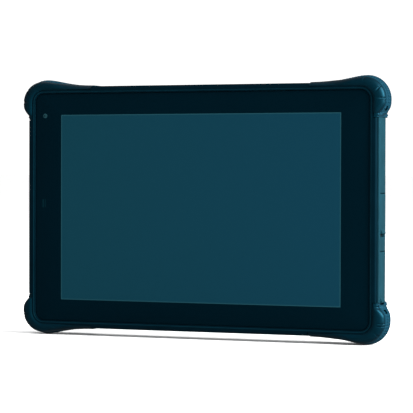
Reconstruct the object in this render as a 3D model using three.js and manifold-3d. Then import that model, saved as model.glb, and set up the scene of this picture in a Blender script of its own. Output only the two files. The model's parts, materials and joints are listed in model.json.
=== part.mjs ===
// A rugged field data collector: an 8-inch tablet in a sealed case with corner bumpers.
// Millimetres, +Z up. The part stands upright with its screen facing -Y and its origin under its middle.
// Everything is drawn in the screen's frame: x to the right, y back from the face of the glass and z up from
// the middle of the screen. One group at the end moves that frame onto the bumpers' lowest points.
import * as THREE from 'three';
import { mergeVertices } from 'three/addons/utils/BufferGeometryUtils.js';
import Module from 'manifold-3d';

// ---- Driving dimensions ----------------------------------------------------------------------------------

const gap = 0.3;                 // clearance between pieces that meet
const beyond = 3;                // how far a cutting tool runs past what it cuts

// Screen and glass
const screenWidth = 172.2;
const screenHeight = 107.6;
const borderSide = 16.5;         // glass beside the screen
const borderTop = 12.3;          // glass above and below it
const glassThickness = 1.1;
const glassCorner = 5.1;
const panelThickness = 2.4;
const panelMargin = 3.2;         // display module round its active area
const gasketThickness = 0.5;

// Case
const rimSide = 4.4;             // bezel beside the glass opening
const rimTop = 3.85;             // bezel above and below it
const glassGap = 0.4;            // groove between glass and bezel
const bezelProud = 0.8;          // bezel in front of the glass
const bezelChamfer = 1.1;
const bezelInset = 0.3;          // bezel skirt inside the housing's outline
const ledgeThickness = 1.0;      // ledge behind the glass
const partingDepth = 1.9;        // front edge of the rear housing
const caseDepth = 17.5;          // face of the rear cover
const caseCorner = 10;
const caseWall = 2.2;
const rearWall = 2.0;
const rearRound = 4.5;           // rounding of the rear edges

// Bumpers
const bulgeRadius = 15.4;        // round bulge seen from the front
const bulgeSide = 5.1;           // how far it stands out at the sides
const bulgeTop = 4.15;           // and at the top and bottom
const bumperFront = 1.5;         // in front of the glass
const bumperRear = 2.0;          // behind the rear cover
const bumperFrontRound = 6;
const bumperRearRound = 3;
const bumperTail = 40.2;         // reach along the top and bottom, from the case's side
const bumperHeel = 18.65;        // reach down the side, from the case's top
const tailProud = 0.6;
const heelStep = 1.3;            // slope from the heel's edge up to the bulge
const seatDepth = 1.3;           // pocket in the housing that a bumper sits in
const frontLip = 2.4;            // case edge that a bumper covers in front
const rearLip = 11;              // rear cover that it covers behind
const rearLipCorner = caseCorner + 6;
const facetStart = 8.5;          // depth where the rear facet of the sides begins
const facetInset = 4;            // how far it leans in by the rear

// Port doors on the right side: the lower one ends just above the lower bumper
const doorThickness = 1.2;
const doorFront = 4.4;
const doorMargin = 3.1;          // door to the face of the rear cover
const upperDoorLength = 23;
const lowerDoorLength = 29;
const doorSpacing = 9;           // fixed stretch of case between the doors
const doorRise = 0.2;            // lower door above the bumper
const doorLedge = 1.5;           // ledge round the opening behind a door
const sealDepth = 1.8;
const sealWall = 1.2;
const notchHeight = 1.4;         // finger notch below a door
const notchFront = 5;
const notchBack = 12;
const doorLip = { proud: 0.5, height: 1.6 };   // finger lip above the notch

// Top buttons
const buttonNames = ['power', 'function', 'volume_down', 'volume_up'];
const buttonPitch = 16;
const buttonInset = 11.2;        // first button from the end of the bumper
const buttonLength = 11;
const buttonWidth = 5;
const buttonTravel = 0.8;
const buttonSunk = 0.2;          // cap below the face of the case
const flangeThickness = 0.9;
const stemWidth = 2.4;
const buttonDepth = 8.2;         // middle of a button, behind the glass

// Battery bay and its latches
const bayWidth = 119;
const bayHeight = 76;
const bayRise = 18.35;           // bay above the bottom of the case
const bayWall = 1.5;
const bayFloor = 9.1;            // depth of the bay's floor
const latchLength = 13;
const latchHeight = 10;
const latchTravel = 4;
const latchTongue = 2.5;         // how far a latch reaches into the battery pack
const latchThickness = 1.8;
const latchPocketWall = 2;
const latchPocketFloor = 1.2;
const connectorWidth = 18;
const connectorBack = 13.5;      // depth of the battery connector's rear face

// Boards and inner pieces
const frameThickness = 1.0;
const boardThickness = 1.2;
const boardDepth = 6.0;          // front face of the main board
const portBoardDepth = 5.4;
const portBoardThickness = 0.8;
const portBoardWidth = 15;
const shieldWidth = 40;
const shieldThickness = 2.5;
const spreaderWidth = 60;
const spreaderThickness = 0.8;
const windowSeat = 1.2;          // counterbore of the rear camera's window
const windowSunk = 0.2;          // windows below the face of the rear cover
const stripDepth = [7, 13];      // depths that the strip antennas span

// Fasteners
const insertRadius = 3.0;
const insertBore = 1.65;
const insertX = 82;
const insertZ = 36;
const insertLength = 6;
const headRadius = 2.6;
const headHeight = 1.3;
const bumperHeadHeight = 0.8;
const shankRadius = 1.0;
const shankBore = 1.4;
const bossWall = 2.0;
const socketRadius = 1.2;
const bumperScrewLength = 3.6;

// ---- Sizes worked out from them --------------------------------------------------------------------------

const glassHalfX = screenWidth / 2 + borderSide;
const glassHalfZ = screenHeight / 2 + borderTop;
const openingHalfX = glassHalfX + glassGap;
const openingHalfZ = glassHalfZ + glassGap;
const caseHalfX = openingHalfX + rimSide;
const caseHalfZ = openingHalfZ + rimTop;
const innerHalfX = caseHalfX - caseWall;
const innerHalfZ = caseHalfZ - caseWall;
const panelHalfX = screenWidth / 2 + panelMargin;
const panelHalfZ = screenHeight / 2 + panelMargin;
const panelFront = glassThickness + gap;
const panelBack = panelFront + panelThickness;
const gasketFront = glassThickness + gap;
const ledgeFront = gasketFront + gasketThickness + gap;
const ledgeBack = ledgeFront + ledgeThickness;
const ledgeHalfX = panelHalfX + 2 * gap;
const ledgeHalfZ = panelHalfZ + 2 * gap;
const frameFront = panelBack + gap;
const frameBack = frameFront + frameThickness;
const rearInner = caseDepth - rearWall;
const bumperHalfX = caseHalfX + bulgeSide;
const bumperHalfZ = caseHalfZ + bulgeTop;
const bumperBack = caseDepth + bumperRear;
const tailX = caseHalfX - bumperTail;
const heelZ = caseHalfZ - bumperHeel;
const bodyMiddle = (bumperBack - bumperFront) / 2;

const doorBack = caseDepth - doorMargin;
const doorFrom = (bottom, length) => ({ bottom, top: bottom + length });
const lowerDoor = doorFrom(doorRise - heelZ, lowerDoorLength);
const upperDoor = doorFrom(lowerDoor.top + doorSpacing, upperDoorLength);

// ---- Materials -------------------------------------------------------------------------------------------

const finish = (color, roughness, metalness = 0) =>
  new THREE.MeshStandardMaterial({ color, roughness, metalness });
const material = {
  glass: finish('#02151e', 0.08),
  display: finish('#123f50', 0.3),
  shell: finish('#1d4a59', 0.45),
  bezel: finish('#0a2836', 0.4),
  rubber: finish('#0e3a4b', 0.65),
  seal: finish('#14181c', 0.8),
  alloy: finish('#8a8f94', 0.4, 0.9),
  board: finish('#12482c', 0.5),
  plastic: finish('#15191d', 0.5),
  battery: finish('#16303c', 0.5),
  brass: finish('#b08d4f', 0.35, 1),
  steel: finish('#3c4247', 0.35, 0.9),
  lens: finish('#0a1014', 0.05),
  ceramic: finish('#d8cdb8', 0.5),
};

// ---- Solids ----------------------------------------------------------------------------------------------

const wasm = await Module();
wasm.setup();

// A closed three.js geometry as a solid, without the slivers that merged points leave behind.
function solid(geometry) {
  const bare = new THREE.BufferGeometry().setAttribute('position', geometry.getAttribute('position'));
  bare.setIndex(geometry.index);
  const merged = mergeVertices(bare, 1e-4);
  const corners = merged.index.array;
  const triangles = [];
  for (let i = 0; i < corners.length; i += 3) {
    const [a, b, c] = corners.slice(i, i + 3);
    if (a !== b && b !== c && c !== a) triangles.push(a, b, c);
  }
  return new wasm.Manifold(new wasm.Mesh({
    numProp: 3,
    vertProperties: new Float32Array(merged.attributes.position.array),
    triVerts: new Uint32Array(triangles),
  }));
}

// A shape without doubled points, from any list of points.
function outline(points) {
  const kept = points.filter((p, i) => p.distanceTo(points[(i + 1) % points.length]) > 1e-3);
  return new THREE.Shape(kept);
}

function roundedRectangle(halfX, halfZ, radius, x = 0, z = 0, steps = 7) {
  const points = [];
  for (const [sx, sz, from] of [[1, 1, 0], [-1, 1, 1], [-1, -1, 2], [1, -1, 3]]) {
    for (let i = 0; i <= steps; i++) {
      const angle = (from + i / steps) * Math.PI / 2;
      points.push(new THREE.Vector2(
        x + sx * (halfX - radius) + radius * Math.cos(angle),
        z + sz * (halfZ - radius) + radius * Math.sin(angle),
      ));
    }
  }
  return outline(points);
}

// A shape in x and z carried from one depth to another, with either edge rounded or, in one step, chamfered.
function slab(shape, front, back, { frontRound = 0, backRound = 0, steps = 4 } = {}) {
  const extruded = (from, to, round) => {
    const geometry = new THREE.ExtrudeGeometry(shape, {
      depth: to - from - 2 * round,
      bevelEnabled: round > 0,
      bevelThickness: round,
      bevelSize: round,
      bevelOffset: -round,
      bevelSegments: steps,
    });
    geometry.translate(0, 0, round - to).rotateX(Math.PI / 2);
    return solid(geometry);
  };
  if (frontRound === backRound) return extruded(front, back, frontRound);
  const length = back - front;
  return extruded(front, back + length, frontRound).intersect(extruded(front - length, back, backRound));
}

function block([x0, x1], [y0, y1], [z0, z1]) {
  const geometry = new THREE.BoxGeometry(x1 - x0, y1 - y0, z1 - z0);
  return solid(geometry.translate((x0 + x1) / 2, (y0 + y1) / 2, (z0 + z1) / 2));
}

const around = (middle, size) => [middle - size / 2, middle + size / 2];

// A round bar along the depth, or along z or x.
function bar(radius, front, back, x, z, sides = 20) {
  const geometry = new THREE.CylinderGeometry(radius, radius, back - front, sides);
  return solid(geometry.translate(x, (front + back) / 2, z));
}

function barUp(radius, x, y, low, high, sides = 16) {
  const geometry = new THREE.CylinderGeometry(radius, radius, high - low, sides);
  return solid(geometry.rotateX(Math.PI / 2).translate(x, y, (low + high) / 2));
}

function barAcross(radius, left, right, y, z, sides = 20) {
  const geometry = new THREE.CylinderGeometry(radius, radius, right - left, sides);
  return solid(geometry.rotateZ(Math.PI / 2).translate((left + right) / 2, y, z));
}

const joined = (first, ...others) => others.reduce((whole, piece) => whole.add(piece), first);
const without = (first, ...others) => others.reduce((whole, piece) => whole.subtract(piece), first);

const assembly = new THREE.Group();

function add(name, shape, finishName) {
  const made = shape.getMesh();
  const geometry = new THREE.BufferGeometry()
    .setAttribute('position', new THREE.BufferAttribute(new Float32Array(made.vertProperties), 3));
  geometry.setIndex(new THREE.BufferAttribute(new Uint32Array(made.triVerts), 1));
  geometry.computeVertexNormals();
  const mesh = new THREE.Mesh(geometry, material[finishName]);
  mesh.name = name;
  assembly.add(mesh);
}

// ---- Places shared by several pieces ---------------------------------------------------------------------

const corners = [
  { name: 'top_right', sx: 1, sz: 1 },
  { name: 'top_left', sx: -1, sz: 1 },
  { name: 'bottom_left', sx: -1, sz: -1 },
  { name: 'bottom_right', sx: 1, sz: -1 },
];

const frontCamera = { x: -(glassHalfX - 6.7), z: glassHalfZ - 12.8, size: 8, back: 5.6 };
const sensor = { x: -(glassHalfX - 5.3), z: -0.5, width: 4, height: 8, back: panelBack };
const rearCamera = { x: -72, z: caseHalfZ - 20.35, size: 9, front: 9, lens: 4.6, window: 5.8 };
const flash = { x: rearCamera.x + 12.5, z: rearCamera.z, radius: 2.2 };
const speaker = {
  x: 62, z: caseHalfZ - 20.35, width: 24, height: 12, front: 10.7, slots: 5, slotWidth: 1.4,
};
const dock = {
  width: 36, thickness: 6, height: 7, depth: 8.8,
  contacts: 4, pitch: 7, contactRadius: 1.2, contactDepth: 3.2,
};
const bumperScrew = { x: caseHalfX - 13.4, z: caseHalfZ - 13.35 };
const caseScrews = [
  { name: 'top_left', x: -45, z: caseHalfZ - 9.35 },
  { name: 'top_right', x: 45, z: caseHalfZ - 9.35 },
  { name: 'bottom_left', x: -45, z: 9.35 - caseHalfZ },
  { name: 'bottom_right', x: 45, z: 9.35 - caseHalfZ },
  { name: 'side_left', x: 9.4 - caseHalfX, z: upperDoor.top + 10.5 },
  { name: 'side_right', x: caseHalfX - 9.4, z: upperDoor.top + 10.5 },
];
const screwTop = caseDepth - gap / 2;      // a case screw's head, just below the rear cover
const bumperScrewTop = bumperBack - gap / 2;
const frameBossBack = 8.8;
const housingBossFront = frameBossBack + gap;
const insertFront = caseDepth - insertLength;
const buttons = buttonNames.map((name, i) => ({ name, x: buttonInset - tailX + i * buttonPitch }));
const bayHalfX = bayWidth / 2;
const bayTop = bayRise + bayHeight - caseHalfZ;
const bayMiddle = bayTop - bayHeight / 2;
const latchBack = caseDepth - 0.5;
const latchFront = latchBack - latchThickness;

// ---- Bumper envelope: the outer surface of all four bumpers, joined by thin strips along the edges -------

function bumperQuarter() {
  const centre = new THREE.Vector2(bumperHalfX - bulgeRadius, bumperHalfZ - bulgeRadius);
  const heel = new THREE.Vector2(caseHalfX + bulgeSide / 2, heelZ + heelStep);
  const widest = new THREE.Vector2(bumperHalfX, centre.y);
  const highest = new THREE.Vector2(centre.x, bumperHalfZ);
  const tail = new THREE.Vector2(tailX, caseHalfZ + tailProud);
  const below = new THREE.Vector2(bumperHalfX - gap, (heel.y + widest.y) / 2);
  const underside = new THREE.QuadraticBezierCurve(heel, below, widest);
  const bulge = new THREE.EllipseCurve(centre.x, centre.y, bulgeRadius, bulgeRadius, 0, Math.PI / 2);
  const shoulder = new THREE.CubicBezierCurve(
    highest,
    new THREE.Vector2(centre.x - bumperTail * 0.18, highest.y),
    new THREE.Vector2(tail.x + bumperTail * 0.42, tail.y),
    tail,
  );
  return [
    new THREE.Vector2(caseHalfX + tailProud, heelZ),
    ...underside.getPoints(4),
    ...bulge.getPoints(12),
    ...shoulder.getPoints(8),
  ];
}

function bumperEnvelope() {
  const quarter = bumperQuarter();
  const mirrored = (sx, sz) => quarter.map((p) => new THREE.Vector2(sx * p.x, sz * p.y));
  const shape = outline([
    ...mirrored(1, 1), ...mirrored(-1, 1).reverse(), ...mirrored(-1, -1), ...mirrored(1, -1).reverse(),
  ]);
  const body = slab(shape, -bumperFront, bumperBack, {
    frontRound: bumperFrontRound, backRound: bumperRearRound,
  });
  // The sides lean in behind facetStart, so the envelope is cut by a prism that runs the full height.
  const faceted = new THREE.Shape([
    new THREE.Vector2(-bumperHalfX - beyond, -bumperFront - beyond),
    new THREE.Vector2(bumperHalfX + beyond, -bumperFront - beyond),
    new THREE.Vector2(bumperHalfX, facetStart),
    new THREE.Vector2(bumperHalfX - facetInset, bumperBack),
    new THREE.Vector2(bumperHalfX - facetInset, bumperBack + beyond),
    new THREE.Vector2(facetInset - bumperHalfX, bumperBack + beyond),
    new THREE.Vector2(facetInset - bumperHalfX, bumperBack),
    new THREE.Vector2(-bumperHalfX, facetStart),
  ]);
  const height = 2 * (bumperHalfZ + beyond);
  const prism = new THREE.ExtrudeGeometry(faceted, { depth: height, bevelEnabled: false });
  return body.intersect(solid(prism.translate(0, 0, -height / 2)));
}

// The region of one corner that a bumper takes up, seen from the front.
function cornerZone({ sx, sz }, clearance = 0) {
  const xs = [sx * (tailX - clearance), sx * (bumperHalfX + beyond)].sort((a, b) => a - b);
  const zs = [sz * (heelZ - clearance), sz * (bumperHalfZ + beyond)].sort((a, b) => a - b);
  return block(xs, [-bumperFront - beyond, bumperBack + beyond], zs);
}

const allZones = corners.map((corner) => cornerZone(corner, gap));

// ---- Front: bezel, glass, display ------------------------------------------------------------------------

function frontBezel() {
  const skirtX = caseHalfX - bezelInset;
  const skirtZ = caseHalfZ - bezelInset;
  const skirtBack = partingDepth - gap;
  const skirt = slab(roundedRectangle(skirtX, skirtZ, caseCorner - bezelInset), -bezelProud, skirtBack, {
    frontRound: bezelChamfer, steps: 1,
  });
  const core = slab(
    roundedRectangle(caseHalfX - frontLip - gap, caseHalfZ - frontLip + gap, caseCorner - frontLip),
    -bezelProud, skirtBack,
  );
  const tongue = slab(
    roundedRectangle(innerHalfX - gap, innerHalfZ - gap, caseCorner - caseWall - gap),
    skirtBack, ledgeBack,
  );
  const glassOpening = slab(
    roundedRectangle(openingHalfX, openingHalfZ, glassCorner + glassGap), -beyond, ledgeFront,
  );
  const ledgeOpening = slab(roundedRectangle(ledgeHalfX, ledgeHalfZ, 2), -beyond, ledgeBack + beyond);
  return without(
    joined(without(skirt, ...allZones), core.intersect(skirt), tongue),
    glassOpening, ledgeOpening, ...behindGlass(gap),
  );
}

// The room that the two modules in the glass border take up, grown by a clearance.
function behindGlass(clearance) {
  const { x, z, size } = frontCamera;
  return [
    block(around(x, size + 2 * clearance), [glassThickness, caseDepth / 2], around(z, size + 2 * clearance)),
    block(around(sensor.x, sensor.width + 2 * clearance), [glassThickness, frameFront - gap / 2],
      around(sensor.z, sensor.height + 2 * clearance)),
  ];
}

function glassGasket() {
  const outline = roundedRectangle(glassHalfX - gap, glassHalfZ - gap, glassCorner);
  const ring = slab(outline, gasketFront, gasketFront + gasketThickness);
  const hole = slab(roundedRectangle(ledgeHalfX, ledgeHalfZ, 2), 0, caseDepth);
  return without(ring, hole, ...behindGlass(gap));
}

function frontCameraModule() {
  const { x, z, size, back } = frontCamera;
  const body = block(around(x, size), [panelFront + 1, back], around(z, size));
  return body.add(bar(size * 0.36, panelFront, panelFront + 1.5, x, z));
}

function sensorModule() {
  const { x, z, width, height, back } = sensor;
  return block(around(x, width), [panelFront, back], around(z, height));
}

add('front_bezel', frontBezel(), 'bezel');
add('cover_glass', slab(
  roundedRectangle(glassHalfX, glassHalfZ, glassCorner), 0, glassThickness,
), 'glass');
add('glass_gasket', glassGasket(), 'seal');
add('display_panel', slab(roundedRectangle(panelHalfX, panelHalfZ, 1), panelFront, panelBack), 'display');
add('front_camera_module', frontCameraModule(), 'plastic');
add('sensor_module', sensorModule(), 'plastic');

// ---- Rear housing ----------------------------------------------------------------------------------------

function housingOuter() {
  const whole = slab(roundedRectangle(caseHalfX, caseHalfZ, caseCorner), partingDepth, caseDepth, {
    backRound: rearRound,
  });
  const seat = slab(
    roundedRectangle(caseHalfX - seatDepth, caseHalfZ - seatDepth, caseCorner - seatDepth),
    partingDepth, caseDepth, { backRound: rearRound - seatDepth },
  );
  return joined(without(whole, ...allZones), seat);
}

// Bosses inside the rear cover: under the strap inserts, the case screws and the bumper screws.
function housingBosses() {
  const strap = corners.map(({ sx, sz }) =>
    bar(insertRadius + 1.6, insertFront - 1, rearInner + 1, sx * insertX, sz * insertZ));
  const screws = caseScrews.map(({ x, z }) =>
    bar(shankBore + bossWall, housingBossFront, rearInner + 1, x, z));
  const bumpers = corners.map(({ sx, sz }) =>
    bar(shankBore + bossWall, rearInner - 3.2, rearInner + 1, sx * bumperScrew.x, sz * bumperScrew.z));
  return [...strap, ...screws, ...bumpers];
}

function housingHoles() {
  const strap = corners.map(({ sx, sz }) =>
    bar(insertRadius + gap, insertFront - gap, caseDepth + beyond, sx * insertX, sz * insertZ));
  const screws = caseScrews.flatMap(({ x, z }) => [
    bar(shankBore, housingBossFront - beyond, caseDepth + beyond, x, z, 12),
    bar(headRadius + gap, screwTop - headHeight - gap, caseDepth + beyond, x, z),
  ]);
  const bumpers = corners.map(({ sx, sz }) =>
    bar(shankBore, rearInner - 2.2, caseDepth + beyond, sx * bumperScrew.x, sz * bumperScrew.z, 12));
  return [...strap, ...screws, ...bumpers];
}

function doorPocket({ top, bottom }) {
  const pocket = block(
    [caseHalfX - doorThickness - gap, caseHalfX + beyond], [doorFront, doorBack], [bottom, top],
  );
  const opening = block(
    [innerHalfX - beyond, caseHalfX], [doorFront + doorLedge, doorBack - doorLedge],
    [bottom + doorLedge + gap, top - doorLedge],
  );
  const notch = block(
    [caseHalfX - doorThickness - gap, caseHalfX + beyond], [notchFront, notchBack],
    [bottom - notchHeight, bottom + gap],
  );
  return joined(pocket, opening, notch);
}

// A range of x on one side of the middle: side is 1 on the right and -1 on the left.
function onSide(side, from, to) {
  return [side * from, side * to].sort((a, b) => a - b);
}

const latchPocketEnd = bayHalfX + latchTravel + latchLength + 2;

function latchPocket(side) {
  const x = onSide(side, bayHalfX - 1, latchPocketEnd);
  return block(x, [latchFront - gap, caseDepth + beyond], around(bayMiddle, latchHeight + 2 * gap));
}

function latchBlock(side) {
  const x = onSide(side, bayHalfX, latchPocketEnd + latchPocketWall);
  const front = latchFront - gap - latchPocketFloor;
  return block(x, [front, rearInner + 1], around(bayMiddle, latchHeight + 2 * latchPocketWall));
}

function speakerSlots() {
  const { x, z, width, height, slots, slotWidth } = speaker;
  const pitch = width / (slots + 1);
  const through = [rearInner - beyond, caseDepth + beyond];
  return Array.from({ length: slots }, (_, i) =>
    block(around(x - width / 2 + (i + 1) * pitch, slotWidth), through, around(z, height - 3)));
}

function rearHousing() {
  const hollow = slab(
    roundedRectangle(innerHalfX, innerHalfZ, caseCorner - caseWall), partingDepth - beyond, rearInner,
    { backRound: rearRound - rearWall },
  );
  const bayBlock = block(
    around(0, bayWidth + 2 * bayWall), [bayFloor - frameThickness, rearInner + 1],
    around(bayMiddle, bayHeight + 2 * bayWall),
  );
  const bay = block(around(0, bayWidth), [bayFloor, caseDepth + beyond], around(bayMiddle, bayHeight));
  const connectorHole = block(
    around(0, connectorWidth + 2 * gap), [bayFloor + gap, connectorBack + gap],
    [bayTop - 1, bayTop + bayWall + 1],
  );
  const buttonHoles = buttons.map(({ x }) => block(
    around(x, buttonLength + 2 * gap), around(buttonDepth, buttonWidth + 2 * gap),
    [innerHalfZ - 1, caseHalfZ + beyond],
  ));
  const dockHole = block(
    around(0, dock.width + 2 * gap), around(dock.depth, dock.thickness + 2 * gap),
    [-caseHalfZ - beyond, -innerHalfZ + 1],
  );
  const { x, z, lens, window } = rearCamera;
  return without(
    joined(without(housingOuter(), hollow), bayBlock, ...housingBosses(), latchBlock(1), latchBlock(-1)),
    bay, connectorHole, dockHole, latchPocket(1), latchPocket(-1),
    doorPocket(upperDoor), doorPocket(lowerDoor),
    ...buttonHoles, ...housingHoles(), ...speakerSlots(),
    bar(lens, rearInner - beyond, caseDepth + beyond, x, z),
    bar(window + gap, caseDepth - windowSeat, caseDepth + beyond, x, z),
    bar(flash.radius + gap, rearInner - beyond, caseDepth + beyond, flash.x, flash.z),
  );
}

add('rear_housing', rearHousing(), 'shell');

// ---- Bumpers ---------------------------------------------------------------------------------------------

const envelope = bumperEnvelope();

function bumper(corner) {
  const frontOpening = slab(
    roundedRectangle(caseHalfX - frontLip, caseHalfZ - frontLip + 2 * gap, caseCorner - frontLip + gap),
    -bumperFront - beyond, partingDepth,
  );
  const cavity = slab(
    roundedRectangle(caseHalfX - seatDepth + gap, caseHalfZ - seatDepth + gap, caseCorner - seatDepth + gap),
    partingDepth - gap, caseDepth + gap, { backRound: rearRound - seatDepth },
  );
  const rearOpening = slab(
    roundedRectangle(caseHalfX - rearLip, caseHalfZ - rearLip, rearLipCorner),
    caseDepth - beyond, bumperBack + beyond,
  );
  const { sx, sz } = corner;
  const x = sx * bumperScrew.x;
  const z = sz * bumperScrew.z;
  const pad = bar(headRadius + 3.4, caseDepth + gap, bumperBack, x, z);
  return without(
    joined(without(envelope.intersect(cornerZone(corner)), frontOpening, cavity, rearOpening), pad),
    bar(shankBore, caseDepth - beyond, bumperBack + beyond, x, z, 12),
    bar(headRadius + gap, bumperScrewTop - bumperHeadHeight - gap, bumperBack + beyond, x, z),
  );
}

for (const corner of corners) add(`bumper_${corner.name}`, bumper(corner), 'rubber');

// ---- Port doors and what they cover ----------------------------------------------------------------------

// A flat cover with its upper end rounded about the hinge line.
function portDoor({ top, bottom }) {
  const radius = doorThickness / 2;
  const hingeX = caseHalfX - radius;
  const hingeZ = top - gap - radius;
  const front = doorFront + gap;
  const back = doorBack - gap;
  const leaf = block([caseHalfX - doorThickness, caseHalfX], [front, back], [bottom + gap, hingeZ]);
  const lip = block(
    [caseHalfX, caseHalfX + doorLip.proud], [notchFront, notchBack],
    [bottom + gap, bottom + gap + doorLip.height],
  );
  return joined(leaf, bar(radius, front, back, hingeX, hingeZ, 24), lip);
}

function doorSeal({ top, bottom }) {
  const outer = {
    y: [doorFront + doorLedge + gap, doorBack - doorLedge - gap],
    z: [bottom + doorLedge + 3 * gap, top - doorLedge - gap],
  };
  const x = [caseHalfX - doorThickness - gap - sealDepth, caseHalfX - doorThickness - gap];
  const inner = {
    y: [outer.y[0] + sealWall, outer.y[1] - sealWall],
    z: [outer.z[0] + sealWall, outer.z[1] - sealWall],
  };
  return without(block(x, outer.y, outer.z), block([x[0] - 1, x[1] - 0.6], inner.y, inner.z));
}

for (const [name, door] of [['upper', upperDoor], ['lower', lowerDoor]]) {
  add(`port_door_${name}`, portDoor(door), 'shell');
  add(`port_door_${name}_seal`, doorSeal(door), 'seal');
}

const portFace = caseHalfX - doorThickness - sealDepth - 3 * gap;   // front of the sockets
const portDepth = (doorFront + doorBack) / 2;
const portBoardBack = portBoardDepth + portBoardThickness;

// A metal shell with a mouth towards the door and a tongue inside, on a foot that stands on the port board.
function socket({ middle, height, thickness, depth, wall, tongue }) {
  const back = portFace - depth;
  const shell = block([back, portFace], around(portDepth, thickness), around(middle, height));
  const mouth = block(
    [back + wall, portFace + 1], around(portDepth, thickness - 2 * wall), around(middle, height - 2 * wall),
  );
  const sunk = [back + wall / 2, portFace - 1];
  const blade = block(sunk, around(portDepth, tongue), around(middle, height * 0.7));
  const footDepth = [portBoardBack + gap, portDepth - (thickness - wall) / 2];
  const foot = block([back, portFace - 1], footDepth, around(middle, height * 0.8));
  return joined(without(shell, mouth), blade, foot);
}

// A moulded block with a round mouth and, where asked, a pin in it.
function roundSocket({ middle, size, depth, bore, pin }) {
  const back = portFace - depth;
  const body = block([back, portFace], [portBoardBack + gap, portDepth + size / 2], around(middle, size));
  const hollowed = body.subtract(barAcross(bore / 2, back + 2, portFace + 1, portDepth, middle));
  if (!pin) return hollowed;
  return hollowed.add(barAcross(pin / 2, back + 1, portFace - 1, portDepth, middle, 12));
}

const upperMiddle = (upperDoor.top + upperDoor.bottom) / 2;
const lowerMiddle = (lowerDoor.top + lowerDoor.bottom) / 2;
add('usb_c_socket', socket({
  middle: upperMiddle + 4.5, height: 9, thickness: 3.3, depth: 7.4, wall: 0.35, tongue: 0.7,
}), 'alloy');
add('audio_jack', roundSocket({
  middle: upperMiddle - 5, size: 6, depth: 11, bore: 3.6, pin: 0,
}), 'plastic');
add('usb_a_socket', socket({
  middle: lowerMiddle + 4.5, height: 13.1, thickness: 5.7, depth: 12, wall: 0.4, tongue: 1.8,
}), 'alloy');
add('power_jack', roundSocket({
  middle: lowerMiddle - 7.5, size: 6.6, depth: 11, bore: 5.2, pin: 1.7,
}), 'plastic');
add('port_board', block(
  [portFace - portBoardWidth, portFace - 0.5], [portBoardDepth, portBoardBack],
  [lowerDoor.bottom - 2, upperDoor.top + 1.5],
), 'board');

// ---- Top buttons -----------------------------------------------------------------------------------------

const flangeTop = innerHalfZ - gap;
const stemBottom = flangeTop - flangeThickness - gap;
const switchTop = stemBottom - buttonTravel - gap / 2;

function topButton(x) {
  const cap = block(
    around(x, buttonLength), around(buttonDepth, buttonWidth), [flangeTop - 0.5, caseHalfZ - buttonSunk],
  );
  const flange = block(
    around(x, buttonLength + 2), around(buttonDepth, buttonWidth - 0.4),
    [flangeTop - flangeThickness, flangeTop],
  );
  const stem = block(around(x, stemWidth), around(buttonDepth, stemWidth), [stemBottom, flangeTop]);
  return joined(cap, flange, stem);
}

for (const { name, x } of buttons) add(`${name}_button`, topButton(x), 'rubber');
add('button_board', block(
  [buttons[0].x - buttonLength, buttons.at(-1).x + buttonLength], around(buttonDepth, buttonWidth),
  [switchTop - portBoardThickness, switchTop],
), 'board');

// ---- Chassis and boards ----------------------------------------------------------------------------------

function midFrame() {
  const plate = slab(
    roundedRectangle(innerHalfX - 2 * gap, innerHalfZ - 2 * gap, caseCorner - caseWall - 2 * gap),
    frameFront, frameBack,
  );
  const { x, z, size } = frontCamera;
  const cameraHole = block(around(x, size + 2 * gap), [0, caseDepth], around(z, size + 2 * gap));
  const bosses = caseScrews.map((screw) =>
    bar(shankRadius + bossWall, frameBack - 0.5, frameBossBack, screw.x, screw.z));
  const bores = caseScrews.map((screw) =>
    bar(shankRadius + gap, frameBack, frameBossBack + 1, screw.x, screw.z, 12));
  return without(joined(plate, ...bosses), cameraHole, ...bores);
}

function batteryPack() {
  const inset = 2 * gap;
  const back = caseDepth - 0.1;
  const body = block(
    around(0, bayWidth - 2 * inset), [bayFloor + gap, back], around(bayMiddle, bayHeight - 2 * inset),
  );
  const contactNotch = block(
    around(0, connectorWidth + 2), [bayFloor - 1, connectorBack + 0.7], [bayTop - 2.8, bayTop + 1],
  );
  const latchNotch = (side) => block(
    onSide(side, bayHalfX - latchTongue - gap, bayHalfX + 1), [latchFront - gap, caseDepth + 1],
    around(bayMiddle, latchHeight - 2),
  );
  return without(body, contactNotch, latchNotch(1), latchNotch(-1));
}

function batteryLatch(side) {
  const start = bayHalfX + 1;
  const depth = [latchFront, latchBack];
  const plate = block(onSide(side, start, start + latchLength), depth, around(bayMiddle, latchHeight));
  const tongue = block(
    onSide(side, bayHalfX - latchTongue, start + 1), depth, around(bayMiddle, latchHeight - 3),
  );
  const ridges = [0.3, 0.5, 0.7].map((share) => block(
    around(side * (start + share * latchLength), 1.2), [latchBack - 0.5, caseDepth - 0.05],
    around(bayMiddle, latchHeight - 2),
  ));
  return joined(plate, tongue, ...ridges);
}

const boardBack = boardDepth + boardThickness;
const board = { left: 9.4 - caseHalfX, right: caseHalfX - 27.4, low: bayTop + 4, high: caseHalfZ - 14.35 };
const shieldBack = boardBack + gap + shieldThickness;
const spreaderFront = shieldBack + gap;
add('mid_frame', midFrame(), 'alloy');
add('main_board', block(
  [board.left, board.right], [boardDepth, boardBack], [board.low, board.high],
), 'board');
add('processor_shield', block(
  around(0, shieldWidth), [boardBack + gap, shieldBack], [board.low + 3, board.high - 3],
), 'alloy');
add('heat_spreader', block(
  around(0, spreaderWidth), [spreaderFront, spreaderFront + spreaderThickness],
  [board.low + 3, board.high - 1],
), 'brass');
add('battery_pack', batteryPack(), 'battery');
add('battery_latch_left', batteryLatch(-1), 'plastic');
add('battery_latch_right', batteryLatch(1), 'plastic');
add('battery_connector', joined(
  block(around(0, connectorWidth), [boardBack + gap, connectorBack], [bayTop + 2.5, bayTop + 6]),
  block(around(0, connectorWidth), [bayFloor + 2 * gap, connectorBack], [bayTop - 2, bayTop + 3]),
), 'plastic');

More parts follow.
